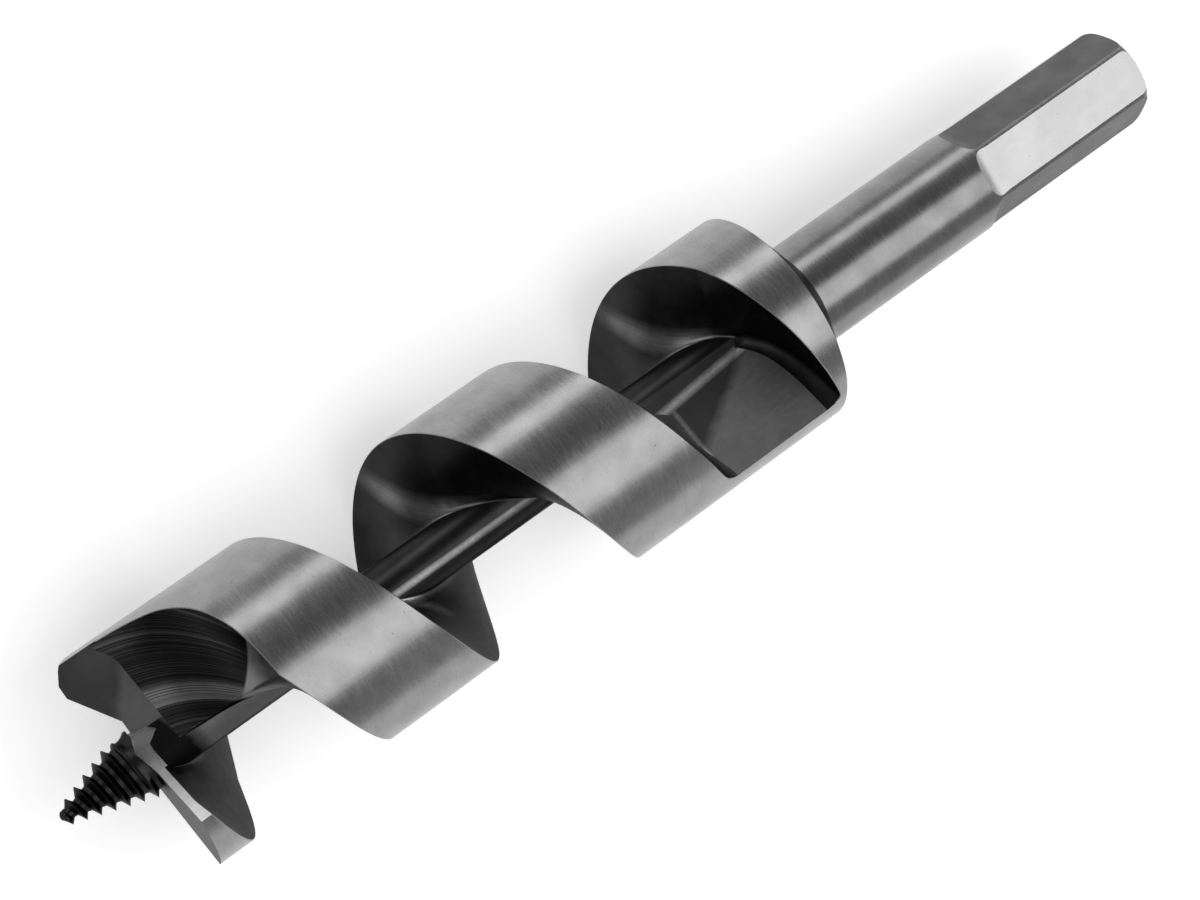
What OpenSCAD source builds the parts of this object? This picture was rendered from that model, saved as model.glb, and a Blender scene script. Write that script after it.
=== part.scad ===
// Combination auger bit lying along the X axis.
// The origin is the centre of the rear end face of the shank, +X runs from tip to shank and +Z is up.

/* [Main] */
// Diameter over the ground outer lands of the twist
body_d = 30; // [28:0.5:33]
// Distance from the point of the lead screw to the rear end face of the shank
overall_length = 170.8; // [165:0.1:180]
// Distance from the front face of the head to the rear edge of the collar
twist_length = 96.4; // [94:0.2:100]
// Length of the lead screw in front of the head
screw_length = 11.6; // [8:0.1:14]

/* [Twist] */
// Diameter of the core inside the flute
core_d = 6.6; // [6:0.1:8]
// Axial advance of the flute in one full turn
pitch = 38.2; // [37:0.1:40]
// Axial width of the flute opening at the outer lands
flute_width = 22.1; // [20:0.1:23]
// Angle of the cutting lip about the axis
lip_angle = 122; // [106:1:136]
// Axial thickness of the ground edge of the lip
lip_edge = 1.4; // [0.6:0.1:2]
// Amount by which the rear side of the flight is set forward at the lip, where it is sharpened
head_thinning = 3.8; // [2.5:0.1:4]
// Part of that amount that is left off at the rim
rim_share = 0.4; // [0:0.1:1]
// Amount by which the rear side of the flight leans towards the tip at the core
rear_lean = 1.5; // [1:0.1:3]
// Further lean of the rear side of the flight close to the core
rear_fillet = 0.5; // [0.2:0.1:1.2]
// Fillet of the front side of the flight where the end wall meets it
front_wall_fillet = 4.8; // [3:0.1:6]
// Fillet of the rear side of the flight where the end wall meets it
rear_wall_fillet = 5; // [3:0.1:6]
// Angle swept by the flute from the lip to the end wall
flute_sweep = 747.5; // [742:0.5:753]

/* [Head] */
// Angle of the outer edge of the spur face about the axis
spur_angle = 8.8; // [4:0.2:14]
// Height of the spur in front of the head face
spur_height = 3.6; // [2:0.1:4.5]
// Distance from the axis to the inner foot of the spur
spur_foot_r = 5.2; // [4.5:0.1:6]
// Distance from the axis to the inner end of the crest of the spur
spur_inner_r = 11; // [10:0.1:11.8]
// Distance from the axis to the outer end of the crest of the spur
spur_outer_r = 12.6; // [12:0.1:13.4]
// Thickness of the spur behind its flat face
spur_thickness = 6; // [4:0.1:7]
// Slope of the spur and of the head behind it
spur_back = 20; // [10:1:25]
// Radius of the round scoop behind the spur face
scoop_radius = 15; // [14:0.1:18]
// Distance of the centre of the round scoop from the axis
scoop_distance = 18; // [17.5:0.1:19]
// Distance from the axis to the edge of the relief behind the lip
relief_start = 7.2; // [6.6:0.1:9]
// Slope of the relief behind the lip
relief_slope = 35; // [20:1:45]

/* [Lead screw] */
// Diameter of the lead screw where it meets the head
screw_root_d = 10; // [8:0.1:11]
// Diameter of the blunt point of the lead screw
screw_tip_d = 2.2; // [1.6:0.1:3]
// Bevel at the blunt point of the lead screw
tip_bevel = 0.4; // [0.2:0.05:0.6]
// Bevel at the root of the lead screw
root_bevel = 0.9; // [0.4:0.1:1.2]
// Diameter of the stem of the lead screw in the core
stem_d = 3.6; // [3:0.1:4]
// Length of the stem of the lead screw
stem_length = 10; // [6:0.5:16]

/* [Shank] */
// Diameter of the round shank
shank_d = 14.4; // [13:0.1:15]
// Width across the flats of the hexagon
hex_flats = 12.5; // [12:0.1:12.8]
// Diameter over the narrow lands between the flats of the hexagon
hex_corner_d = 14.1; // [13.9:0.1:14.2]
// Length of the hexagon
hex_length = 29.3; // [24:0.1:36]
// Length over which the shank narrows to the lands of the hexagon
hex_taper = 3; // [2:0.1:5]
// Radius of the run-out at the front end of each flat
runout_r = 2.5; // [1.5:0.1:4]
// Angle of the first hexagon flat about the axis
hex_angle = 94.5; // [86:0.5:106]
// Length of the chamfer on the rear end of the shank
end_chamfer = 1.4; // [0.6:0.1:2]
// Depth of the chamfer on the rear end of the shank
end_chamfer_depth = 1; // [0.4:0.1:1.4]
// Diameter of the spigot of the shank inside the collar
spigot_d = 8; // [7:0.1:9]
// Length of the spigot inside the collar
spigot_length = 8; // [6:0.1:9]
// Length of the cone between the collar and the shank
cone_length = 4.4; // [3.5:0.1:6]

/* [Fits] */
// Radial gap of a stem or spigot in its bore
fit_gap = 0.03; // [0.01:0.01:0.06]
// End gap of a stem or spigot in its bore
end_gap = 0.2; // [0.1:0.05:0.5]

/* [Hidden] */

tip_x = -overall_length;
head_x = tip_x + screw_length;
collar_x = head_x + twist_length;
shank_x = collar_x + cone_length;

body_r = body_d / 2;
core_r = core_d / 2;
shank_r = shank_d / 2;
corner_r = hex_corner_d / 2;

// A cutter reaches this far outside the body.
reach = 1;
outer_r = body_r + reach;

// Angular step between the sections of the flute cutter.
turn_step = 9.5;
// Angular step between the points of one curved flank.
curve_step = 10;

// The wall that closes the flute is a plane that touches the core.
wall_half = acos(core_r / body_r);
end_angle = lip_angle + flute_sweep;
end_touch = end_angle - wall_half;
throat_touch = spur_angle + wall_half;
// Where a wall plane has left the body, between its surface and the outer end of the cutter.
wall_out = acos(core_r / (body_r + reach / 2));
// The throat is open to the front of everything.
throat_x = tip_x - 5 * reach;

// Position of the outer edge of the rear flank at the lip, without the thickening of the head.
rear_at_lip = head_x + lip_edge - head_thinning;
// Angle behind the lip over which the flight becomes as thick as it is further back.
head_blend = 106;
// The thickening is full at this distance from the axis and less further out.
rim_start = 11.5;
// The front flank falls behind the helix before the end wall, by this much per degree from this angle.
tail_slowing = 0.031;
tail_start = end_angle - 108;
// The round scoop ends at this angle and blends into the front flank over the next stretch.
scoop_end = throat_touch + 1;
scoop_blend = 18;
// Axial shift of the scoop for each millimetre across its axis.
scoop_tilt = 0.071;
// Direction of the relief, as an angle behind the lip.
relief_turn = 111.7;

function clamp01(v) = min(1, max(0, v));

// Outer edge of the rear flank at the angle t.
function rear_edge(t) = rear_at_lip + pitch * (t - lip_angle) / 360;

// Outer edge of the front flank of the next turn at the angle t.
function tail_lag(t) = tail_slowing * max(0, t - tail_start);
function front_edge(t) = rear_edge(t) + flute_width - tail_lag(t);

// Radius of the bottom of the flute at the angle t, which leaves the core along a flat wall.
function floor_r(t) =
    t > end_touch ? core_r / cos(t - end_touch)
    : t < throat_touch ? core_r / cos(throat_touch - t)
    : core_r;

// One point of a flank for the curve angle a, from 0 at the land to 90 at the floor.
function land_r(t) = max(body_r + reach / 2, floor_r(t) + reach / 10);
function curve_r(a, t) = land_r(t) - (land_r(t) - floor_r(t)) * sin(a);

// 1 at the lip, 0 where the flight has its usual section.
function head_share(t) = clamp01(1 - (t - lip_angle) / head_blend);
// 0 where the flute begins to end, 1 where the end wall meets the land.
function wall_share(t) = clamp01((t - end_touch) / wall_half);

// The round scoop, at the height h above the axis and at the point of radius r.
function scoop_reach(h) = sqrt(max(0, pow(scoop_radius, 2) - pow(scoop_distance - h, 2)));
function scoop_x(r, t) =
    front_edge(scoop_end) - scoop_reach(body_r) + scoop_tilt * r * sin(t - throat_touch)
        + scoop_reach(r * cos(t - throat_touch));

// Share of the scoop's shape in the front flank behind the scoop.
function scoop_share(t) =
    let (rest = clamp01((scoop_end + scoop_blend - t) / scoop_blend))
    rest * rest * (3 - 2 * rest);
function flank_fall(a, t) =
    front_wall_fillet * wall_share(t) * (1 - cos(a)) * (1 - scoop_share(t))
        + scoop_share(t) * (scoop_reach(body_r) - scoop_reach(curve_r(a, t)));
function front_x(a, t) =
    t < scoop_end ? scoop_x(curve_r(a, t), t) : front_edge(t) - flank_fall(a, t);

// Rear flank, set forward near the lip and leaning further back.
function rim_loss(r) = rim_share * (1 - clamp01((r - rim_start) / (body_r - rim_start)));
function flank_lean(a, t) =
    let (share = max(0.05, (body_r - floor_r(t)) / (body_r - core_r)))
    share * (rear_lean * sin(a) + rear_fillet * pow(1 - cos(a), 2));
function rear_x(a, t) =
    rear_edge(t)
        + head_share(t) * (head_thinning - rim_loss(curve_r(a, t)))
        - (1 - head_share(t)) * flank_lean(a, t)
        + rear_wall_fillet * sin(180 * wall_share(t)) * (1 - cos(a));

function at(x, r, t) = [x, r * cos(t), r * sin(t)];

CURVE = [for (a = [0:curve_step:90]) a];
CURVE_BACK = [for (a = [90 - curve_step:-curve_step:0]) a];

// Front flank at the angle t, from outside the land down to the floor of the flute.
function front_points(t) = concat(
    [at(front_x(0, t), outer_r, t)],
    [for (a = CURVE) at(front_x(a, t), curve_r(a, t), t)]);

// Foot and top of the rear flank at the angle t.
function rear_foot(t) = at(rear_x(90, t), floor_r(t), t);
function rear_top(t) = at(rear_x(0, t), outer_r, t);

// Section of the open throat in front of the head at the angle t.
function throat_section(t) = concat(
    front_points(t),
    [rear_foot(t), at(throat_x, floor_r(t), t), at(throat_x, outer_r, t), rear_top(t)]);

// The rear flank without its foot and top.
function rear_points(t) = [for (a = CURVE_BACK) at(rear_x(a, t), curve_r(a, t), t)];

// Section of the flute between two flights at the angle t.
function flute_section(t) = concat(front_points(t), [rear_foot(t)], rear_points(t), [rear_top(t)]);

function steps(from, to) =
    let (count = ceil((to - from) / turn_step))
    [for (i = [0:count]) from + (to - from) * i / count];

// Two triangles between the points j and k of two neighbouring sections.
function quad(a, b, c, d) = [[a, b, c], [a, c, d]];

// The flute and the throat as one closed solid, with a flat step at the lip.
module flute_cutter() {
    throat_turns = steps(throat_touch - wall_out, lip_angle);
    flute_turns = steps(lip_angle, end_touch + wall_out);
    front_count = len(CURVE) + 1;
    throat_count = front_count + 4;
    rear_count = len(CURVE_BACK);
    flute_count = front_count + rear_count + 2;
    lip = len(throat_turns) - 1;
    last = len(flute_turns) - 1;
    lip_base = lip * throat_count;
    rear_base = lip_base + throat_count;
    flute_base = rear_base + rear_count;
    points = concat(
        [for (t = throat_turns) each throat_section(t)],
        rear_points(lip_angle),
        [for (i = [1:last]) each flute_section(flute_turns[i])]);
    // Number of the point j in the throat section i and in the flute section i.
    function in_throat(i, j) = i * throat_count + j % throat_count;
    function in_flute(i, j) =
        let (n = j % flute_count)
        i > 0 ? flute_base + (i - 1) * flute_count + n
        : n <= front_count ? lip_base + n
        : n <= front_count + rear_count ? rear_base + n - front_count - 1
        : lip_base + throat_count - 1;
    throat_sides = [for (i = [0:lip - 1], j = [0:throat_count - 1])
        each quad(in_throat(i, j), in_throat(i, j + 1), in_throat(i + 1, j + 1), in_throat(i + 1, j))];
    flute_sides = [for (i = [0:last - 1], j = [0:flute_count - 1])
        each quad(in_flute(i, j), in_flute(i, j + 1), in_flute(i + 1, j + 1), in_flute(i + 1, j))];
    start_cap = [for (j = [throat_count - 1:-1:0]) in_throat(0, j)];
    end_cap = [for (j = [0:flute_count - 1]) in_flute(last, j)];
    lip_step = concat(
        [for (j = [0:3]) lip_base + front_count + j],
        [for (j = [rear_count - 1:-1:0]) rear_base + j]);
    polyhedron(
        points = points,
        faces = concat(throat_sides, flute_sides, [start_cap, end_cap, lip_step]),
        convexity = 10);
}

// Turns a solid built along Z so that it lies along X.
module along_x() {
    rotate([0, 90, 0]) children();
}

// Outer shape of the twist before the flute is cut.
module blank() {
    along_x() rotate_extrude($fn = 96) polygon([
        [0, head_x],
        [body_r, head_x],
        [body_r, collar_x],
        [shank_r, shank_x],
        [0, shank_x]
    ]);
}

// The part of the head face that falls away behind the lip.
module relief() {
    fall = (outer_r - relief_start) * tan(relief_slope);
    rotate([lip_angle + relief_turn, 0, 0])
        translate([0, 0, -outer_r])
        linear_extrude(height = 2 * outer_r)
        polygon([
            [head_x - reach, relief_start],
            [head_x, relief_start],
            [head_x + fall, outer_r],
            [head_x - reach, outer_r]
        ]);
}

// Places a solid on the flat face of the spur, sloping back from the head face.
module on_spur_face() {
    rotate([throat_touch - 90, 0, 0])
        translate([head_x, 0, core_r])
        rotate([0, -spur_back, 0])
        children();
}

// The part of the head face that falls away behind the spur.
module spur_relief() {
    on_spur_face()
        translate([-outer_r, spur_foot_r, -2 * outer_r])
        cube([outer_r, outer_r, 2 * outer_r]);
}

// The spur that scores the rim of the hole in front of the lip.
module spur() {
    top_x = -spur_height * cos(spur_back);
    intersection() {
        along_x() translate([0, 0, head_x - 2 * spur_height])
            cylinder(r = body_r, h = twist_length / 2, $fn = 96);
        on_spur_face()
            translate([0, 0, -spur_thickness])
            linear_extrude(height = spur_thickness + spur_height)
            polygon([
                [spur_height, spur_foot_r],
                [0, spur_foot_r],
                [top_x, spur_inner_r],
                [top_x, spur_outer_r],
                [top_x * 3 / 4, (spur_outer_r + outer_r) / 2],
                [top_x / 3, outer_r],
                [spur_height, outer_r]
            ]);
    }
}

module flight_body() {
    color([0.30, 0.30, 0.31])
    difference() {
        union() {
            difference() {
                blank();
                relief();
                spur_relief();
            }
            spur();
        }
        flute_cutter();
        along_x() translate([0, 0, head_x - reach])
            cylinder(d = stem_d + 2 * fit_gap, h = stem_length + end_gap + reach, $fn = 48);
        along_x() translate([0, 0, shank_x - spigot_length - end_gap])
            cylinder(d = spigot_d + 2 * fit_gap, h = spigot_length + end_gap + reach, $fn = 64);
    }
}

module lead_screw() {
    color([0.22, 0.22, 0.23])
    along_x() rotate_extrude($fn = 64) polygon([
        [0, tip_x],
        [screw_tip_d / 2 - tip_bevel, tip_x],
        [screw_tip_d / 2, tip_x + tip_bevel],
        [screw_root_d / 2, head_x - root_bevel],
        [screw_root_d / 2 - root_bevel / 2, head_x],
        [stem_d / 2, head_x],
        [stem_d / 2, head_x + stem_length],
        [0, head_x + stem_length]
    ]);
}

module shank_round() {
    along_x() rotate_extrude($fn = 96) polygon([
        [0, shank_x - spigot_length],
        [spigot_d / 2, shank_x - spigot_length],
        [spigot_d / 2, shank_x],
        [shank_r, shank_x],
        [shank_r, -hex_length],
        [corner_r, hex_taper - hex_length],
        [corner_r, -end_chamfer],
        [corner_r - end_chamfer_depth, 0],
        [0, 0]
    ]);
}

// One flat of the hexagon, as the block that is milled away, with a round front end.
module flat_cut(angle) {
    cut_depth = shank_r - hex_flats / 2;
    round_part = sqrt(pow(runout_r, 2) - pow(runout_r - cut_depth, 2));
    start_x = round_part - hex_length;
    // The round front end dips a hair below the flat.
    dip = 0.03;
    rotate([angle, 0, 0])
        translate([start_x, hex_flats / 2, -shank_r]) {
            cube([reach - start_x, shank_r, 2 * shank_r]);
            translate([0, runout_r - dip, 0]) cylinder(r = runout_r, h = 2 * shank_r, $fn = 48);
        }
}

module hex_shank() {
    color([0.72, 0.72, 0.73])
    difference() {
        shank_round();
        for (side = [0:5]) flat_cut(hex_angle + 60 * side);
    }
}

flight_body();
lead_screw();
hex_shank();
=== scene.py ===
"""Looks of a combination auger bit: ground lands and shank, dark flutes, screw point and milled hexagon."""
import math

import bmesh
import bpy
from mathutils import Matrix, Vector


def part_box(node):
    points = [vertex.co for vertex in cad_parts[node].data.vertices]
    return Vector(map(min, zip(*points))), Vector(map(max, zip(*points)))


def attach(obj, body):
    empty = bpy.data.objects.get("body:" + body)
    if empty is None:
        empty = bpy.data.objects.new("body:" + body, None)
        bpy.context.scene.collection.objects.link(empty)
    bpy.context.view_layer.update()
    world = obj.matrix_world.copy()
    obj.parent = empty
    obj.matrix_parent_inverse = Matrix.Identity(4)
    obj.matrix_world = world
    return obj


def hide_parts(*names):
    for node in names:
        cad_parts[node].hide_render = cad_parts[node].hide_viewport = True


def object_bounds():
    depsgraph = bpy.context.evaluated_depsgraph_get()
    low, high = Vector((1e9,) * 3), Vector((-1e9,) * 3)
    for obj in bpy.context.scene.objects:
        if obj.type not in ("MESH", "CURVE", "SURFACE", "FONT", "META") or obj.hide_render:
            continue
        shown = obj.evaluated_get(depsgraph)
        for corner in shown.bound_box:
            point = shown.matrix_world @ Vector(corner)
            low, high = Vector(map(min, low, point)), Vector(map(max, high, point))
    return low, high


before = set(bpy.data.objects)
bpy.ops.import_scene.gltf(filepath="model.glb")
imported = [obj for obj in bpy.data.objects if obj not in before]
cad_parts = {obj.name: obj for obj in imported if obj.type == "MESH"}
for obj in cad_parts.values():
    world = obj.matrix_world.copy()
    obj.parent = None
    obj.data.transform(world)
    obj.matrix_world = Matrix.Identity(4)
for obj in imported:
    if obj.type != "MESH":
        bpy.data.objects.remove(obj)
cad_low, cad_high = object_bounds()

# Lengths below are in millimetres, as on a workshop drawing, and become metres when a mesh is made.
MM = 0.001

# Main sizes, read from the frame.
TIP_X = cad_low.x / MM
BODY_R = cad_high.y / MM
SPUR_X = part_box("flight_body")[0].x / MM
SHANK_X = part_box("flight_body")[1].x / MM

# Head, collar and core.
SPUR_HEIGHT = 3.6
HEAD_X = SPUR_X + SPUR_HEIGHT
CONE_LENGTH = 4.4
COLLAR_X = SHANK_X - CONE_LENGTH
CORE_R = 3.3
SHANK_R = 7.2

# Flute. Turns are in degrees round the axis, from +Y towards +Z, and go on past 360 along the flight.
PITCH = 38.2
FLUTE_WIDTH = 22.1
LIP_ANGLE = 122.0
LIP_EDGE = 1.4
WALL_FRONT_FILLET = 2.6
WALL_REAR_X = -82.9
WALL_REAR_SLANT = 0.24
WALL_SLANT_START = 8
WALL_FRONT_RISE = 4
WALL_REAR_RISE = 1.6
FILLET_HEIGHT = 1.5
WALL_REAR_FILLET_HEIGHT = 1.3 * FILLET_HEIGHT
REAR_LEAN = 1.55
REAR_FILLET = 0.55
FLUTE_SWEEP = 747.5
TAIL_SLOWING = 0.031
TAIL_TURN = 108.0
FOOT_FILLET = 1.4
FRONT_FOOT_FILLET = 0.5

# Spur, and the web and grind beside it. The crown's points are shares of the height and of the radius.
SPUR_ANGLE = 8.8
SPUR_THICKNESS = 6.0
SPUR_FOOT_R = 5.2
SPUR_CROWN = [(0.0, 0.73), (0.0, 0.84), (0.25, 0.94)]
SPUR_SHOULDER = 0.7
WEB_START = 42.0
WEB_EDGE = 3.15
GRIND_DEPTH = 6
GRIND_LEAN = (-0.15, 1.26)
GRIND_TOP = CORE_R + 0.8
GRIND_EDGE = [(0, -0.54), (0.17, -1.89), (1.86, -3.51), (1.2, -4.8), (-0.6, -5.13)]
GRIND_FOOT = -5.6
RIM_END_X = -60.0
SPUR_LEAN = (math.tan(math.radians(20.0)), 0.0)

# Relief, thinning and scoop of the head.
RELIEF_START = 7.2
RELIEF_SLOPE = 35.0
RELIEF_TURN = 111.7
HEAD_THINNING = 3.83
RIM_SHARE = 0.4
RIM_START = 11.5
HEAD_BLEND = 106.0
SCOOP_R = 15.0
SCOOP_DISTANCE = 18.0
SCOOP_TILT = 0.071
SCOOP_BLEND = 18.0
CORNER_START = 11.8
CORNER_DEPTH = 1.6
CORNER_REACH = 2.6
CORNER_HEIGHT = 3.0

# Broken edge, overreach of the cutters and fineness of the meshes.
EDGE = 0.10
REACH = 1.0
OUTER_R = BODY_R + REACH
TURN_STEP = 1.5
CURVE_POINTS = 24
FOOT_POINTS = 7
ROUND_SEGMENTS = 360
THINNEST_SHARE = 0.05
LAST_START = 0.8
BODY_SHARP = 28

# Turns and places that follow from the sizes.
WALL_HALF = math.degrees(math.acos(CORE_R / BODY_R))
END_ANGLE = LIP_ANGLE + FLUTE_SWEEP
END_TOUCH = END_ANGLE - WALL_HALF
THROAT_TOUCH = SPUR_ANGLE + WALL_HALF
WALL_OUT = math.degrees(math.acos(CORE_R / (BODY_R + 0.6 * REACH)))
THROAT_X = TIP_X - 6 * REACH
REAR_AT_LIP = HEAD_X + LIP_EDGE - HEAD_THINNING
TAIL_START = END_ANGLE - TAIL_TURN
SCOOP_END = THROAT_TOUCH + 1

# Turns at which the flute's materials change.
SCOOP_ZONE_END = SCOOP_END + 8
WEB_FRONT_END = LIP_ANGLE + 25
WEB_FLOOR_END = LIP_ANGLE + 30
FOOT_ZONE_END = END_TOUCH + 30


def clamp01(v):
    return min(1.0, max(0.0, v))


def rear_edge(t):
    return REAR_AT_LIP + PITCH * (t - LIP_ANGLE) / 360


def front_edge(t):
    return rear_edge(t) + FLUTE_WIDTH - TAIL_SLOWING * max(0.0, t - TAIL_START)


def floor_r(t):
    if t > END_TOUCH:
        return CORE_R / math.cos(math.radians(t - END_TOUCH))
    if t < THROAT_TOUCH:
        return CORE_R / math.cos(math.radians(THROAT_TOUCH - t))
    return CORE_R


def head_share(t):
    """1 at the lip, 0 where the flight has its usual section."""
    return clamp01(1 - (t - LIP_ANGLE) / HEAD_BLEND)


def wall_share(t):
    """0 where the flute begins to end, 1 where the end wall meets the land."""
    return clamp01((t - END_TOUCH) / WALL_HALF)


def fillet(width, height, h):
    """How far a fillet of that width stands out of its flank at the height h over the floor."""
    u = clamp01(1 - h / height)
    return width * (1 - math.sqrt(1 - u * u))


def over_wall(r, t):
    """Height of a point over the plane of the end wall."""
    return (r - floor_r(t)) * math.cos(math.radians(max(0.0, t - END_TOUCH)))


def scoop_reach(h):
    """Half the width of the round scoop at the height h over the axis."""
    return math.sqrt(max(0.0, SCOOP_R ** 2 - (SCOOP_DISTANCE - h) ** 2))


def scoop_x(r, t):
    h, v = r * math.cos(math.radians(t - THROAT_TOUCH)), r * math.sin(math.radians(t - THROAT_TOUCH))
    centre = front_edge(SCOOP_END) - scoop_reach(BODY_R)
    corner = clamp01((-v - CORNER_START) / CORNER_REACH) * clamp01(1 - (h - CORE_R) / CORNER_HEIGHT)
    return centre + SCOOP_TILT * v + scoop_reach(h) - CORNER_DEPTH * corner


def front_x(r, t):
    """Front flank at the radius r."""
    if t < SCOOP_END:
        return scoop_x(r, t)
    rest = clamp01((SCOOP_END + SCOOP_BLEND - t) / SCOOP_BLEND)
    rest = rest * rest * (3 - 2 * rest)
    width = WALL_FRONT_FILLET * clamp01(WALL_FRONT_RISE * wall_share(t))
    wall = fillet(width, FILLET_HEIGHT, over_wall(r, t))
    foot = fillet(FRONT_FOOT_FILLET * (1 - rest), FRONT_FOOT_FILLET, over_wall(r, t))
    return front_edge(t) - max(wall, foot) - rest * (scoop_reach(BODY_R) - scoop_reach(r))


def rear_x(r, a, t):
    """Rear flank at the radius r and the curve angle a."""
    share = max(THINNEST_SHARE, (BODY_R - floor_r(t)) / (BODY_R - CORE_R))
    bend = 1 - math.cos(a)
    lean = share * (REAR_LEAN * math.sin(a) + REAR_FILLET * bend ** 2)
    rim = RIM_SHARE * (1 - clamp01((r - RIM_START) / (BODY_R - RIM_START)))
    head = head_share(t)
    flank = rear_edge(t) + head * (HEAD_THINNING - rim) - (1 - head) * lean
    wall_edge = WALL_REAR_X + WALL_REAR_SLANT * max(0.0, floor_r(t) - WALL_SLANT_START)
    width = max(0.0, wall_edge - flank) * clamp01(WALL_REAR_RISE * wall_share(t))
    wall = fillet(width, WALL_REAR_FILLET_HEIGHT, over_wall(r, t))
    foot = fillet(FOOT_FILLET, FOOT_FILLET, over_wall(r, t))
    return flank + max(wall, foot * (1 - head))


def at(x, r, t):
    a = math.radians(t)
    return (x, r * math.cos(a), r * math.sin(a))


def flank_angles(t):
    """Curve angles of one flank, from just inside the land to the floor of the flute."""
    land_r = max(BODY_R + REACH / 2, floor_r(t) + REACH / 10)
    start = math.asin(min(LAST_START, max(0.0, (land_r - BODY_R + EDGE) / (land_r - floor_r(t)))))
    return land_r, [start + (math.pi / 2 - start) * i / CURVE_POINTS for i in range(CURVE_POINTS + 1)]


def front_points(t):
    land_r, angles = flank_angles(t)
    points = []
    for a in angles:
        r = land_r - (land_r - floor_r(t)) * math.sin(a)
        points.append((front_x(r, t), r))
    x, r = points[0]
    return [(x + max(0.0, OUTER_R - r), OUTER_R)] + points


def rear_curve(t):
    land_r, angles = flank_angles(t)
    points = []
    for a in reversed(angles):
        r = land_r - (land_r - floor_r(t)) * math.sin(a)
        points.append((rear_x(r, a, t), r))
    x, r = points[-1]
    return points + [(x - max(0.0, OUTER_R - r), OUTER_R)]


def steps(start, stop):
    count = math.ceil((stop - start) / TURN_STEP)
    return [start + (stop - start) * i / count for i in range(count + 1)]


def mesh_object(name, points, faces, zones, materials):
    """A mesh object from points in millimetres, with one material number for each face."""
    mesh = bpy.data.meshes.new(name)
    mesh.from_pydata([tuple(c * MM for c in p) for p in points], [], faces)
    for material in materials:
        mesh.materials.append(material)
    mesh.polygons.foreach_set("material_index", zones)
    mesh.update()
    obj = bpy.data.objects.new(name, mesh)
    bpy.context.scene.collection.objects.link(obj)
    return obj


def front_zone(zone, t):
    """Material of the front flank at a turn."""
    if t < SCOOP_ZONE_END:
        return zone["scoop"]
    if t < WEB_FRONT_END:
        return zone["web"]
    return zone["dark"] if t > END_TOUCH else zone["flank"]


def floor_zone(zone, t):
    """Material of the flute's floor at a turn: throat, web, core or end wall."""
    if t < WEB_START:
        return zone["spur"]
    if t < WEB_FLOOR_END:
        return zone["web"]
    return zone["wall"] if t > END_TOUCH else zone["core"]


def flute_cutter(zone):
    """Everything that the flute and the open throat remove, as one closed mesh."""
    throat = steps(THROAT_TOUCH - WALL_OUT, LIP_ANGLE)
    flute = steps(LIP_ANGLE, END_TOUCH + WALL_OUT)
    points, faces, zones = [], [], []

    def add(ring, t):
        first = len(points)
        points.extend(at(x, r, t) for x, r in ring)
        return list(range(first, first + len(ring)))

    def join(a, b, kinds):
        n = len(a)
        for j in range(n):
            k = (j + 1) % n
            faces.append((a[j], a[k], b[k], b[j]))
            zones.append(kinds[j])

    front_n = CURVE_POINTS + 2
    rings = []
    for t in throat:
        front, rear = front_points(t), rear_curve(t)
        foot = rear[0]
        ring = front + [foot, (THROAT_X, foot[1]), (THROAT_X, OUTER_R), rear[-1]]
        rings.append(add(ring, t))
    for i in range(len(throat) - 1):
        t = (throat[i] + throat[i + 1]) / 2
        kinds = [zone["edge"]] + [front_zone(zone, t)] * (front_n - 2) + [floor_zone(zone, t)] * 2
        kinds += [zone["wall"]] * 3
        join(rings[i], rings[i + 1], kinds)
    lip_ring = rings[-1]
    inner = add(rear_curve(LIP_ANGLE)[1:-1], LIP_ANGLE)
    last = lip_ring[:front_n + 1] + inner + [lip_ring[-1]]
    for i in range(len(flute) - 1):
        t = (flute[i] + flute[i + 1]) / 2
        ring = add(front_points(flute[i + 1]) + rear_curve(flute[i + 1]), flute[i + 1])
        kinds = [zone["edge"]] + [front_zone(zone, t)] * (front_n - 2) + [floor_zone(zone, t)]
        kinds += [zone["foot"] if t < FOOT_ZONE_END else zone["rear"]] * FOOT_POINTS
        kinds += [zone["rear"]] * (CURVE_POINTS - FOOT_POINTS) + [zone["edge"], zone["wall"]]
        join(last, ring, kinds)
        last = ring
    faces.append(tuple(reversed(rings[0])))
    zones.append(zone["wall"])
    faces.append(tuple(last))
    zones.append(zone["wall"])
    faces.append(tuple(lip_ring[front_n:]) + tuple(reversed(inner)))
    zones.append(zone["lip"])
    return points, faces, zones


def revolve(profile, kinds):
    """A solid of revolution about X; each stretch of the profile has its own material number."""
    points, faces, zones, rows = [], [], [], []
    segments = ROUND_SEGMENTS
    for x, r in profile:
        if r == 0:
            rows.append([len(points)])
            points.append((x, 0, 0))
        else:
            rows.append(list(range(len(points), len(points) + segments)))
            points.extend(at(x, r, 360 * i / segments) for i in range(segments))
    for a, b, kind in zip(rows, rows[1:], kinds):
        for i in range(segments):
            j = (i + 1) % segments
            if len(a) == 1:
                faces.append((a[0], b[j], b[i]))
            elif len(b) == 1:
                faces.append((a[i], a[j], b[0]))
            else:
                faces.append((a[i], a[j], b[j], b[i]))
            zones.append(kind)
    return points, faces, zones


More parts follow.
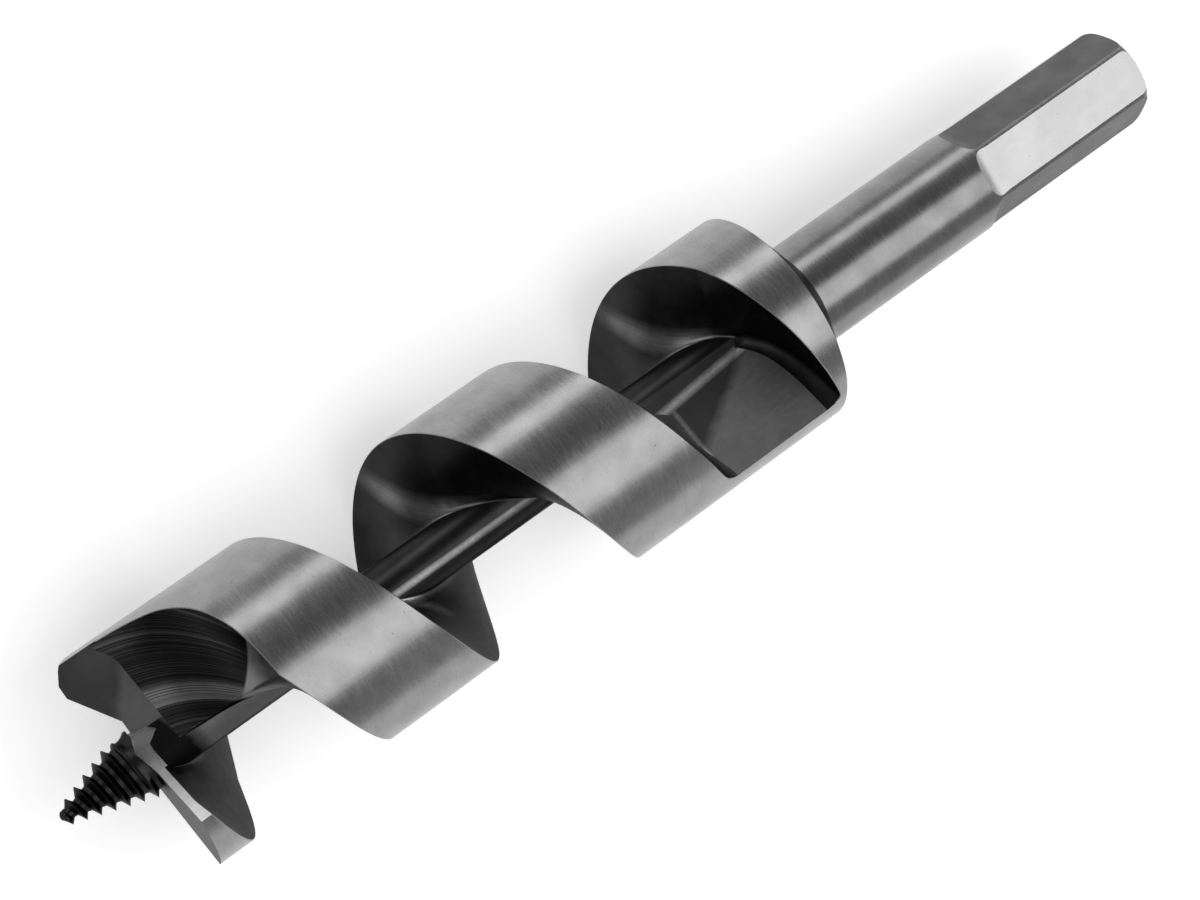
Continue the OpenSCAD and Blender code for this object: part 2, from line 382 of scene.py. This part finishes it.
def extrude(outline, low, high, turn, kind, lean=(0.0, 0.0), level=0.0):
    """An (x, across) outline extruded along its normal, leaning from a level, then turned about X."""
    n = len(outline)
    a = math.radians(turn)
    points = []
    for h in (low, high):
        for x, across in outline:
            y = across + lean[1] * (level - h)
            points.append((x + lean[0] * (level - h), y * math.cos(a) - h * math.sin(a),
                           y * math.sin(a) + h * math.cos(a)))
    faces = [tuple(reversed(range(n))), tuple(range(n, 2 * n))]
    faces += [(i, (i + 1) % n, n + (i + 1) % n, n + i) for i in range(n)]
    return points, faces, [kind] * len(faces)


def outward(obj):
    """Turns a closed mesh's faces outwards."""
    work = bmesh.new()
    work.from_mesh(obj.data)
    bmesh.ops.recalc_face_normals(work, faces=work.faces)
    if work.calc_volume(signed=True) < 0:
        bmesh.ops.reverse_faces(work, faces=work.faces)
    work.to_mesh(obj.data)
    work.free()
    return obj


def combine(obj, other, operation):
    """Applies one boolean between two closed meshes and removes the second."""
    modifier = obj.modifiers.new("Combine", "BOOLEAN")
    modifier.solver = "MANIFOLD"
    modifier.material_mode = "TRANSFER"
    modifier.operation = operation
    modifier.object = other
    bpy.context.view_layer.update()
    mesh = bpy.data.meshes.new_from_object(obj.evaluated_get(bpy.context.evaluated_depsgraph_get()))
    obj.modifiers.clear()
    obj.data = mesh
    bpy.data.objects.remove(other)
    return obj


def shade(obj, sharp):
    """Smooth shading that stays crisp at edges sharper than the given angle."""
    obj.data.polygons.foreach_set("use_smooth", [True] * len(obj.data.polygons))
    obj.data.set_sharp_from_angle(angle=math.radians(sharp))


# Materials. Places of the painted highlights and marks: the direction in which each is measured, and its
# offset in metres.
SCOOP_DEPTH_WAY = (0.0, 0.695, 0.719)
SCOOP_FACET_WAY = (0.0, 0.719, -0.695)
WALL_LINE_ACROSS = (0.0909, -0.952, 0.306)
WALL_LINE_OFFSET = 0.00478
WALL_LINE_X = 0.0824
CORE_LINE_SIDE = (0.0, -0.259, 0.966)
FLANK_SHEEN_ACROSS = (0.0, 0.68, 0.73)
FLANK_SHEEN_OFFSET = -0.0034
REAR_LINE_ACROSS = (0.0, 0.20, -0.98)
REAR_LINE_OFFSET = 0.00302

# Noise scales in cycles per metre, and how strongly fine marks darken the tone and roughen it.
BROAD_SCALE = (260.0, 260.0, 260.0)
PIT_SCALE = (2600.0, 2600.0, 2600.0)
SPECK_SCALE = (2400.0, 4200.0, 4200.0)
FINE_SHARE = 0.86
ROUGHNESS_SWING = 0.15


class Nodes:
    """Short calls for a material's node tree."""

    def __init__(self, name):
        self.material = bpy.data.materials.new(name)
        self.material.use_nodes = True
        self.tree = self.material.node_tree
        self.tree.nodes.clear()
        self.output = self.tree.nodes.new("ShaderNodeOutputMaterial")
        self.shader = self.tree.nodes.new("ShaderNodeBsdfPrincipled")
        self.tree.links.new(self.shader.outputs[0], self.output.inputs[0])

    def link(self, source, target):
        self.tree.links.new(source, target)

    def place(self):
        return self.tree.nodes.new("ShaderNodeTexCoord").outputs["Object"]

    def stretch(self, vector, scale):
        node = self.tree.nodes.new("ShaderNodeMapping")
        node.inputs["Scale"].default_value = scale
        self.link(vector, node.inputs["Vector"])
        return node.outputs["Vector"]

    def noise(self, vector, detail=3.0, rough=0.5):
        node = self.tree.nodes.new("ShaderNodeTexNoise")
        node.inputs["Scale"].default_value = 1.0
        node.inputs["Detail"].default_value = detail
        node.inputs["Roughness"].default_value = rough
        node.inputs["Distortion"].default_value = 0.0
        self.link(vector, node.inputs["Vector"])
        return node.outputs["Fac"]

    def remap(self, value, low, high, to_low, to_high):
        node = self.tree.nodes.new("ShaderNodeMapRange")
        for key, number in (("From Min", low), ("From Max", high), ("To Min", to_low), ("To Max", to_high)):
            node.inputs[key].default_value = number
        self.link(value, node.inputs["Value"])
        return node.outputs["Result"]

    def math(self, kind, a, b):
        node = self.tree.nodes.new("ShaderNodeMath")
        node.operation = kind
        for socket, value in zip(node.inputs, (a, b)):
            if isinstance(value, (int, float)):
                socket.default_value = value
            else:
                self.link(value, socket)
        return node.outputs[0]

    def along(self, vector, direction):
        """How far a point lies along a direction."""
        node = self.tree.nodes.new("ShaderNodeVectorMath")
        node.operation = "DOT_PRODUCT"
        node.inputs[1].default_value = direction
        self.link(vector, node.inputs[0])
        return node.outputs["Value"]

    def spread(self, value):
        """A vector that changes with one value only."""
        node = self.tree.nodes.new("ShaderNodeCombineXYZ")
        self.link(value, node.inputs[0])
        return node.outputs[0]

    def tint(self, value, colour):
        """A colour scaled by a value."""
        node = self.tree.nodes.new("ShaderNodeMix")
        node.data_type = "RGBA"
        node.inputs[6].default_value = (0, 0, 0, 1)
        node.inputs[7].default_value = (*colour, 1)
        node.clamp_factor = False
        self.link(value, node.inputs[0])
        return node.outputs[2]

    def bump(self, height, distance):
        node = self.tree.nodes.new("ShaderNodeBump")
        node.inputs["Strength"].default_value = 1.0
        node.inputs["Distance"].default_value = distance
        self.link(height, node.inputs["Height"])
        return node.outputs["Normal"]


def metal(name, tone, roughness, streak, streak_depth, mottle=0.12, pits=0.0, edge=1.0, zones=None,
          bands=None):
    """Steel with directional machining marks, soft mottling and small pits.

    An edge below 1 darkens what the steel shows at grazing angles, which is a look and not a property of
    steel. Zones is a painted border of shade across the material: a direction, where the border begins and
    ends along it, the share of the tone before it, which is the painted shade, and how ragged it is. Bands
    paints further marks and highlights.
    """
    n = Nodes(name)
    place = n.place()
    fine = n.noise(n.stretch(place, streak), detail=4.0, rough=0.6)
    broad = n.noise(n.stretch(place, BROAD_SCALE), detail=3.0)
    level = n.remap(broad, 0.3, 0.7, 1.0 - mottle, 1.0)
    level = n.math("MULTIPLY", level, n.remap(fine, 0.25, 0.75, FINE_SHARE, 1.0))
    if pits:
        specks = n.noise(n.stretch(place, PIT_SCALE), detail=1.0)
        level = n.math("MULTIPLY", level, n.remap(specks, 0.76, 0.80, 1.0, 1.0 - pits))
    if zones:
        direction, low, high, share, fuzz = zones
        along = n.math("ADD", n.along(place, direction), n.remap(broad, 0.3, 0.7, -fuzz, fuzz))
        level = n.math("MULTIPLY", level, n.remap(along, low, high, share, 1.0))
    if bands:
        level = bands(n, place, level)
    n.link(n.tint(level, (tone, tone, tone)), n.shader.inputs["Base Color"])
    n.shader.inputs["Metallic"].default_value = 1.0
    n.shader.inputs["Specular Tint"].default_value = (edge, edge, edge, 1)
    smooth, coarse = roughness * (1 - ROUGHNESS_SWING), roughness * (1 + ROUGHNESS_SWING)
    n.link(n.remap(fine, 0.2, 0.8, smooth, coarse), n.shader.inputs["Roughness"])
    n.link(n.bump(fine, streak_depth * MM), n.shader.inputs["Normal"])
    return n.material


# The highlights below, and the shade of the zones, are painted at fixed places on the bit. Light doesn't
# make them, so they stay where they are when the bit is turned or lit in another way.
def milling_arcs(n, place, level):
    """Arcs as a cutter leaves them, with a painted highlight low down and a plain facet beside them painted
    lighter.
    """
    depth = n.along(place, SCOOP_DEPTH_WAY)
    lines = n.noise(n.stretch(n.spread(depth), (9000.0, 9000.0, 9000.0)), detail=3.0, rough=0.7)
    coarse = n.noise(n.stretch(n.spread(depth), (1600.0, 1600.0, 1600.0)), detail=2.0)
    # A painted highlight in a band low in the scoop.
    bright = n.math("MULTIPLY", n.remap(depth, 0.0050, 0.0054, 0.0, 1.0),
                    n.remap(depth, 0.0066, 0.0071, 1.0, 0.0))
    low = n.math("ADD", n.remap(lines, 0.46, 0.72, 0.25, 2.6), n.remap(coarse, 0.55, 0.70, 0.0, 1.6))
    high = n.remap(lines, 0.35, 0.65, 0.5, 7.0)
    marks = n.math("ADD", low, n.math("MULTIPLY", bright, high))
    # The plain facet beside the arcs is painted a lighter tone.
    cut = n.remap(n.along(place, SCOOP_FACET_WAY), -0.0053, -0.0050, 0.0, 1.0)
    marks = n.math("MULTIPLY", cut, marks)
    plain = n.remap(cut, 0.0, 1.0, 9.0, 0.0)
    return n.math("MULTIPLY", level, n.math("ADD", marks, plain))


def painted_highlight(n, place, distance, low, high, gain):
    """How bright a painted highlight line is at a distance from its middle, broken up by specks."""
    away = n.math("ABSOLUTE", distance, 0.0)
    specks = n.noise(n.stretch(place, SPECK_SCALE), detail=5.0, rough=0.8)
    return n.math("MULTIPLY", n.remap(away, low, high, gain, 0.0), n.remap(specks, 0.30, 0.70, 0.45, 1.0))


def wall_shine(n, place, level):
    """A painted highlight along the upper edge of the end wall, which turns down its front edge."""
    down = n.math("ADD", n.along(place, WALL_LINE_ACROSS), WALL_LINE_OFFSET)
    upper = painted_highlight(n, place, down, 0.0001, 0.0008, 8.0)
    behind = n.math("ADD", n.along(place, (1.0, 0.0, 0.0)), WALL_LINE_X)
    front = painted_highlight(n, place, behind, 0.0001, 0.0005, 3.0)
    front = n.math("MULTIPLY", front, n.math("GREATER_THAN", down, 0.0))
    return n.math("MULTIPLY", level, n.math("ADD", 1.0, n.math("MAXIMUM", upper, front)))


def core_shine(n, place, level):
    """A painted highlight along the upper side of the core."""
    outer = n.along(place, CORE_LINE_SIDE)
    line = painted_highlight(n, place, n.math("SUBTRACT", outer, CORE_R * MM), 0.0, 0.00005, 7.0)
    return n.math("MULTIPLY", level, n.math("ADD", 1.0, line))


def flank_shine(n, place, level):
    """A painted sheen that runs inwards across the front flank, with fine marks along it."""
    across = n.math("ADD", n.along(place, FLANK_SHEEN_ACROSS), FLANK_SHEEN_OFFSET)
    inwards = n.along(place, (0.0, 1.0, 0.0))
    away = n.math("ABSOLUTE", across, 0.0)
    marks = n.noise(n.stretch(n.spread(across), (4000.0, 4000.0, 4000.0)), detail=3.0, rough=0.7)
    sheen = n.math("MULTIPLY", n.remap(away, 0.0, 0.0017, 1.0, 0.0), n.remap(marks, 0.3, 0.7, 0.6, 1.4))
    sheen = n.math("MULTIPLY", sheen, n.remap(inwards, 0.0020, 0.0040, 0.0, 5.5))
    sheen = n.math("MULTIPLY", sheen, n.remap(inwards, 0.0050, 0.0125, 1.2, 0.2))
    return n.math("MULTIPLY", level, n.math("ADD", 1.0, sheen))


def rear_shine(n, place, level):
    """A painted highlight that runs outwards over the rear flank of the middle turn."""
    across = n.math("ADD", n.along(place, REAR_LINE_ACROSS), REAR_LINE_OFFSET)
    line = painted_highlight(n, place, across, 0.0001, 0.0009, 7.0)
    line = n.math("MULTIPLY", line, n.remap(n.along(place, (0.0, -1.0, 0.0)), 0.0025, 0.0075, 1.0, 0.0))
    line = n.math("MULTIPLY", line, n.remap(n.along(place, (1.0, 0.0, 0.0)), -0.126, -0.124, 0.0, 1.0))
    return n.math("MULTIPLY", level, n.math("ADD", 1.0, line))


LAND = metal("ground_land", 0.32, 0.27, (3600.0, 400.0, 400.0), 0.0045, mottle=0.24, pits=0.7)
END_FACE = metal("head_face", 0.16, 0.50, (1500.0, 1500.0, 1500.0), 0.003, edge=0.6)
# The lip is ground like the lands, but its far lighter tone is partly a painted highlight.
LIP = metal("ground_lip", 0.96, 0.44, (400.0, 3000.0, 3000.0), 0.004)
OXIDE = metal("dark_flute", 0.09, 0.50, (900.0, 900.0, 900.0), 0.001, mottle=0.3, edge=0.5,
              bands=rear_shine)
FLANK = metal("dark_flank", 0.055, 0.36, (1500.0, 700.0, 700.0), 0.001, mottle=0.3, edge=0.4,
              bands=flank_shine)
SCOOP = metal("machined_scoop", 0.03, 0.34, (500.0, 500.0, 500.0), 0.002, edge=0.3, bands=milling_arcs)
# The spur face is darker before a border across it: painted shade.
SPUR = metal("spur_face", 0.10, 0.45, (900.0, 900.0, 900.0), 0.002, mottle=0.2, edge=0.4,
             zones=((0.819, -0.574, 0.04), -0.1342, -0.1332, 0.55, 0.0002))
# The end wall is darker on one side of a diagonal border, which is painted shade, and carries a painted
# highlight.
WALL = metal("end_wall", 0.21, 0.58, (500.0, 3000.0, 500.0), 0.006, mottle=0.2, edge=0.4,
             zones=((0.532, -0.806, 0.259), -0.0362, -0.0348, 0.30, 0.0002), bands=wall_shine)
CORE = metal("dark_core", 0.04, 0.34, (1500.0, 1500.0, 1500.0), 0.006, mottle=0.3, edge=0.4,
             bands=core_shine)
# The front flank beside the end wall gets this darker tone: painted shade in the corner.
DARK = metal("dark_corner", 0.03, 0.45, (900.0, 900.0, 900.0), 0.002, mottle=0.3, edge=0.3)
FOOT = metal("flute_foot", 0.08, 0.40, (1500.0, 1500.0, 1500.0), 0.004, mottle=0.3, edge=0.5,
             bands=rear_shine)
# The web is much darker towards the tip, before a border: painted shade.
WEB = metal("dark_web", 0.17, 0.64, (1500.0, 1500.0, 1500.0), 0.003, mottle=0.2, edge=0.3,
            zones=((1.0, 0.4, 0.0), -0.1545, -0.1525, 0.06, 0.0006))
BURR = metal("land_edge", 0.30, 0.35, (3000.0, 3000.0, 3000.0), 0.02)
CONE = metal("collar_cone", 0.07, 0.38, (2000.0, 900.0, 900.0), 0.005, edge=0.5)
SCREW = metal("dark_screw", 0.03, 0.34, (3000.0, 3000.0, 3000.0), 0.006, edge=0.5)
SHANK = metal("ground_shank", 0.26, 0.26, (3600.0, 460.0, 460.0), 0.0045, mottle=0.24, pits=0.6)

# The flats have two tones: two opposite flats are painted lit and the other four, and the rear end, are
# painted in shade, to repeat how they show in one view. As steel they are probably alike.
LIT_FLAT = metal("lit_flat", 0.64, 0.50, (500.0, 3500.0, 3500.0), 0.006, mottle=0.1, pits=0.5)
SHADED_FLAT = metal("shaded_flat", 0.15, 0.45, (500.0, 3000.0, 3000.0), 0.004, mottle=0.3, pits=0.5)

BODY_LOOKS = {"land": LAND, "face": END_FACE, "lip": LIP, "rear": OXIDE, "flank": FLANK, "scoop": SCOOP,
              "wall": WALL, "core": CORE, "edge": BURR, "cone": CONE, "web": WEB, "spur": SPUR, "foot": FOOT,
              "dark": DARK}
BODY_MATERIALS = list(BODY_LOOKS.values())
ZONE = {key: number for number, key in enumerate(BODY_LOOKS)}


def solid(name, parts, materials):
    return outward(mesh_object(name, *parts, materials))


def web_grind(kind):
    """The grind that carries the plane of the lip across the core to the foot of the spur."""
    top = HEAD_X + LIP_EDGE
    front = HEAD_X - GRIND_DEPTH
    edge = [(top + x, across) for x, across in GRIND_EDGE]
    outline = [(front, GRIND_TOP), (top, GRIND_TOP)] + edge + [(front, GRIND_FOOT)]
    return extrude(outline, -GRIND_DEPTH, 0, LIP_ANGLE, kind, GRIND_LEAN)


def make_body():
    """The twist: blank, relief, spur, flute and grind."""
    land, face = ZONE["land"], ZONE["face"]
    blank = solid("flight_body_steel", revolve(
        [(HEAD_X, 0), (HEAD_X, BODY_R), (COLLAR_X - EDGE, BODY_R), (COLLAR_X, BODY_R - EDGE),
         (SHANK_X, SHANK_R), (SHANK_X, 0)],
        [face, land, ZONE["edge"], ZONE["cone"], ZONE["cone"]]), BODY_MATERIALS)
    fall = (OUTER_R - RELIEF_START) * math.tan(math.radians(RELIEF_SLOPE))
    relief = solid("relief", extrude(
        [(HEAD_X - REACH, RELIEF_START), (HEAD_X, RELIEF_START), (HEAD_X + fall, OUTER_R),
         (HEAD_X - REACH, OUTER_R)],
        -OUTER_R, OUTER_R, LIP_ANGLE + RELIEF_TURN, face), BODY_MATERIALS)
    combine(blank, relief, "DIFFERENCE")
    top = HEAD_X - SPUR_HEIGHT
    spur_relief = solid("spur_relief", extrude(
        [(HEAD_X - 10 * REACH, WEB_EDGE), (HEAD_X, WEB_EDGE), (HEAD_X, OUTER_R),
         (HEAD_X - 10 * REACH, OUTER_R)],
        -OUTER_R, CORE_R, THROAT_TOUCH - 90, face, SPUR_LEAN, CORE_R), BODY_MATERIALS)
    combine(blank, spur_relief, "DIFFERENCE")
    outline = [(HEAD_X + SPUR_HEIGHT, SPUR_FOOT_R), (HEAD_X, SPUR_FOOT_R)]
    outline += [(top + up * SPUR_HEIGHT, out * BODY_R) for up, out in SPUR_CROWN]
    outline += [(top + SPUR_SHOULDER * SPUR_HEIGHT, OUTER_R), (HEAD_X + SPUR_HEIGHT, OUTER_R)]
    spur = solid("spur", extrude(
        outline, CORE_R - SPUR_THICKNESS, CORE_R + REACH, THROAT_TOUCH - 90, ZONE["wall"],
        SPUR_LEAN, CORE_R), BODY_MATERIALS)
    rim = solid("spur_rim", revolve(
        [(TIP_X, 0), (TIP_X, BODY_R), (RIM_END_X, BODY_R), (RIM_END_X, 0)], [face, land, face]),
        BODY_MATERIALS)
    combine(spur, rim, "INTERSECT")
    combine(blank, spur, "UNION")
    combine(blank, solid("flute", flute_cutter(ZONE), BODY_MATERIALS), "DIFFERENCE")
    combine(blank, solid("web_grind", web_grind(ZONE["lip"]), BODY_MATERIALS), "DIFFERENCE")
    shade(blank, BODY_SHARP)
    return blank


# Lead screw.
SCREW_ROOT_R = 5.0
SCREW_TIP_R = 1.1
SCREW_PITCH = 1.6
THREAD_DEPTH = 0.95
THREAD_START_SHARE = 0.35
THREAD_GROWTH = 4
TOOTH_VALLEY = 0.30
TOOTH_CURVE = 1.1
BLUNT_LENGTH = 0.8
BLUNTING = 0.75
NECK_LENGTH = 2.4
NECK_BLEND = 0.5
NECK_GRIND = 0.8
NECK_SIDE_BLEND = 2.5
SCREW_GRIND_X = HEAD_X - 0.1
SCREW_GRIND_EDGE = [(0.3, 9), (0.3, 6.56), (0, 1.88), (-0.35, -1.81), (0.5, -4.8), (0.5, -16)]
SCREW_GRIND_DEPTH = 8
SCREW_SHARP = 50
THREAD_LOOK, GRIND_LOOK = 0, 1
SCREW_COLUMNS = 96
SCREW_ROWS = 260


def make_screw():
    """A tapered wood screw with a right-hand V thread that fades at the head on the side of the grind."""
    columns, rows = SCREW_COLUMNS, SCREW_ROWS
    points, faces = [], []
    for i in range(rows + 1):
        x = TIP_X + (HEAD_X - TIP_X) * i / rows
        along = (x - TIP_X) / (HEAD_X - TIP_X)
        crest = SCREW_TIP_R + (SCREW_ROOT_R - SCREW_TIP_R) * along
        depth = THREAD_DEPTH * clamp01(THREAD_START_SHARE + along * THREAD_GROWTH)
        blunt = 1 - BLUNTING * clamp01(1 - (x - TIP_X) / BLUNT_LENGTH) ** 2
        for j in range(columns):
            phase = (x - TIP_X) / SCREW_PITCH - j / columns
            away = abs((phase % 1.0) - 0.5) * 2
            tooth = clamp01((away - TOOTH_VALLEY) / (1 - TOOTH_VALLEY)) ** TOOTH_CURVE
            side = 2 * math.pi * j / columns - math.radians(LIP_ANGLE - 90)
            ground = clamp01(NECK_SIDE_BLEND * math.cos(side) + 0.5)
            tooth *= 1 - NECK_GRIND * ground * clamp01((x - HEAD_X + NECK_LENGTH) / NECK_BLEND)
            points.append(at(x, (crest - depth * (1 - tooth)) * blunt, 360 * j / columns))
    for i in range(rows):
        for j in range(columns):
            k = (j + 1) % columns
            a, b = i * columns, (i + 1) * columns
            faces.append((a + j, a + k, b + k, b + j))
    faces.append(tuple(reversed(range(columns))))
    faces.append(tuple(range(rows * columns, (rows + 1) * columns)))
    looks = [SCREW, LIP]
    screw = solid("lead_screw_thread", (points, faces, [THREAD_LOOK] * len(faces)), looks)
    edge = [(SCREW_GRIND_X + x, across) for x, across in SCREW_GRIND_EDGE]
    back = HEAD_X + 9
    outline = [(back, edge[0][1])] + edge + [(back, edge[-1][1])]
    cut = extrude(outline, -SCREW_GRIND_DEPTH, 0, LIP_ANGLE, GRIND_LOOK, GRIND_LEAN)
    combine(screw, solid("screw_grind", cut, looks), "DIFFERENCE")
    shade(screw, SCREW_SHARP)
    return screw


# Shank.
HEX_FLATS = 12.5
HEX_CORNER_R = 7.05
HEX_LENGTH = 29.3
HEX_TAPER = 3.0
RUNOUT_R = 2.5
FLAT_END = 0.3
HEX_ANGLE = 94.5
END_CHAMFER = 1.4
END_CHAMFER_DEPTH = 1.0
END_STEPS = 6
RUNOUT_STEPS = 12
SHANK_SHARP = 20
ROUND_LOOK, DIM_LOOK, BRIGHT_LOOK = 0, 1, 2


def make_shank():
    """Round shank with a milled hexagon and a rounded rear end."""
    end = [(-END_CHAMFER + END_CHAMFER * math.sin(a), HEX_CORNER_R - END_CHAMFER_DEPTH * (1 - math.cos(a)))
           for a in (math.radians(90 * i / END_STEPS) for i in range(END_STEPS + 1))]
    steels = [SHANK, SHADED_FLAT, LIT_FLAT]
    profile = [(SHANK_X, 0), (SHANK_X, SHANK_R), (-HEX_LENGTH, SHANK_R)]
    profile += [(HEX_TAPER - HEX_LENGTH, HEX_CORNER_R)] + end + [(0, 0)]
    # The rear end face takes the painted shade of the dim flats.
    kinds = [ROUND_LOOK] * (len(end) + 3) + [DIM_LOOK]
    shank = solid("shank_steel", revolve(profile, kinds), steels)
    half = HEX_FLATS / 2
    deep = SHANK_R - half
    start = math.sqrt(RUNOUT_R ** 2 - (RUNOUT_R - deep) ** 2) - HEX_LENGTH
    run = [(start - RUNOUT_R * math.sin(a), half + RUNOUT_R * (1 - math.cos(a)))
           for a in (math.radians(90 * i / RUNOUT_STEPS) for i in range(RUNOUT_STEPS + 1))]
    outline = [(REACH, half), (start + FLAT_END, half)] + run
    outline += [(start - RUNOUT_R, BODY_R), (REACH, BODY_R)]
    across = SHANK_R + REACH
    for side in range(6):
        # Two opposite flats take the painted lit tone, the other four the painted shade.
        kind = BRIGHT_LOOK if side % 3 == 0 else DIM_LOOK
        flat = solid("flat", extrude(outline, -across, across, HEX_ANGLE + 60 * side, kind), steels)
        combine(shank, flat, "DIFFERENCE")
    shade(shank, SHANK_SHARP)
    return shank


body = make_body()
screw = make_screw()
shank = make_shank()
for piece, node in ((body, "flight_body"), (screw, "lead_screw"), (shank, "hex_shank")):
    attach(piece, "root")
    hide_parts(node)

# Floor, light and camera, in metres.
FLOOR_Z = cad_low.z
FLOOR_HALF = 4.0
FLOOR_TONE = 0.88
FLOOR_GLOW = 0.38
LAMP_X = 0.12
LAMP_TARGET = (-0.085, 0, 0)
SKY_LOW, SKY_HIGH = 0.46, 0.14
SKY_LOW_AT, SKY_HIGH_AT = 0.2, 0.95
SENSOR_WIDTH = 36.0
CAMERA_PLACE = (-0.185009, 0.031561, 0.279474)
CAMERA_RIGHT = (0.77452, -0.54439, 0.32213)
CAMERA_UP = (0.54892, 0.83150, 0.08539)
CAMERA_LENS = 70.995

# Each lamp's turn round the bit, distance from its axis, width, length and radiance.
LAMPS = {"lamp_top": (31, 0.9, 0.30, 2.0, 1.95), "lamp_front": (113, 1.0, 0.84, 2.2, 1.75)}


def make_floor():
    """A pale floor that shows white in the photo's view and keeps a soft shadow."""
    half = FLOOR_HALF
    mesh = bpy.data.meshes.new("floor")
    corners = [(-half, -half), (half, -half), (half, half), (-half, half)]
    mesh.from_pydata([(x, y, FLOOR_Z) for x, y in corners], [], [(0, 1, 2, 3)])
    n = Nodes("floor_white")
    n.shader.inputs["Base Color"].default_value = (FLOOR_TONE, FLOOR_TONE, FLOOR_TONE, 1)
    n.shader.inputs["Roughness"].default_value = 0.9
    n.shader.inputs["Specular IOR Level"].default_value = 0.0
    n.shader.inputs["Emission Color"].default_value = (1, 1, 1, 1)
    path = n.tree.nodes.new("ShaderNodeLightPath")
    seen = n.math("MAXIMUM", path.outputs["Is Camera Ray"], path.outputs["Is Glossy Ray"])
    seen = n.math("MAXIMUM", seen, path.outputs["Is Transmission Ray"])
    n.link(n.math("MULTIPLY", seen, FLOOR_GLOW), n.shader.inputs["Emission Strength"])
    mesh.materials.append(n.material)
    floor = bpy.data.objects.new("floor", mesh)
    bpy.context.scene.collection.objects.link(floor)
    return floor


def area_lamp(name, centre, target, width, length, radiance):
    """A rectangular soft box whose long side runs along X."""
    lamp = bpy.data.lights.new(name, "AREA")
    lamp.shape = "RECTANGLE"
    lamp.size, lamp.size_y = length, width
    lamp.energy = radiance * math.pi * width * length
    obj = bpy.data.objects.new(name, lamp)
    forward = (Vector(target) - Vector(centre)).normalized()
    across = Vector((1, 0, 0))
    back = -forward
    up = back.cross(across).normalized()
    obj.matrix_world = Matrix.Translation(centre) @ Matrix((
        (across.x, up.x, back.x), (across.y, up.y, back.y), (across.z, up.z, back.z))).to_4x4()
    bpy.context.scene.collection.objects.link(obj)
    return obj


def around(turn, distance, x):
    """A point at an angle round the bit, seen along X."""
    a = math.radians(turn)
    return (x, distance * math.cos(a), distance * math.sin(a))


def make_light():
    """Two soft boxes along the bit and a dim sky, lighter at the horizon than overhead."""
    for name, (turn, distance, width, length, radiance) in LAMPS.items():
        area_lamp(name, around(turn, distance, LAMP_X), LAMP_TARGET, width, length, radiance)
    world = bpy.data.worlds.new("studio")
    world.use_nodes = True
    tree = world.node_tree
    background = tree.nodes["Background"]
    coord = tree.nodes.new("ShaderNodeTexCoord")
    parts = tree.nodes.new("ShaderNodeSeparateXYZ")
    tree.links.new(coord.outputs["Generated"], parts.inputs[0])
    ramp = tree.nodes.new("ShaderNodeMapRange")
    ramp.inputs["From Min"].default_value = SKY_LOW_AT
    ramp.inputs["From Max"].default_value = SKY_HIGH_AT
    ramp.inputs["To Min"].default_value = SKY_LOW
    ramp.inputs["To Max"].default_value = SKY_HIGH
    tree.links.new(parts.outputs["Z"], ramp.inputs["Value"])
    tree.links.new(ramp.outputs["Result"], background.inputs["Strength"])
    background.inputs["Color"].default_value = (1, 1, 1, 1)
    bpy.context.scene.world = world


def make_camera():
    """The photograph's view: a long lens that looks down along the bit from its tip."""
    up = Vector(CAMERA_UP)
    back = Vector(CAMERA_RIGHT).cross(up).normalized()
    right = up.cross(back).normalized()
    data = bpy.data.cameras.new("camera")
    data.sensor_width = SENSOR_WIDTH
    data.lens = CAMERA_LENS
    data.clip_start = 0.01
    camera = bpy.data.objects.new("camera", data)
    camera.matrix_world = Matrix.Translation(CAMERA_PLACE) @ Matrix((
        (right.x, up.x, back.x), (right.y, up.y, back.y), (right.z, up.z, back.z))).to_4x4()
    bpy.context.scene.collection.objects.link(camera)
    bpy.context.scene.camera = camera


make_floor()
make_light()
make_camera()
bpy.context.scene.view_settings.view_transform = "Standard"
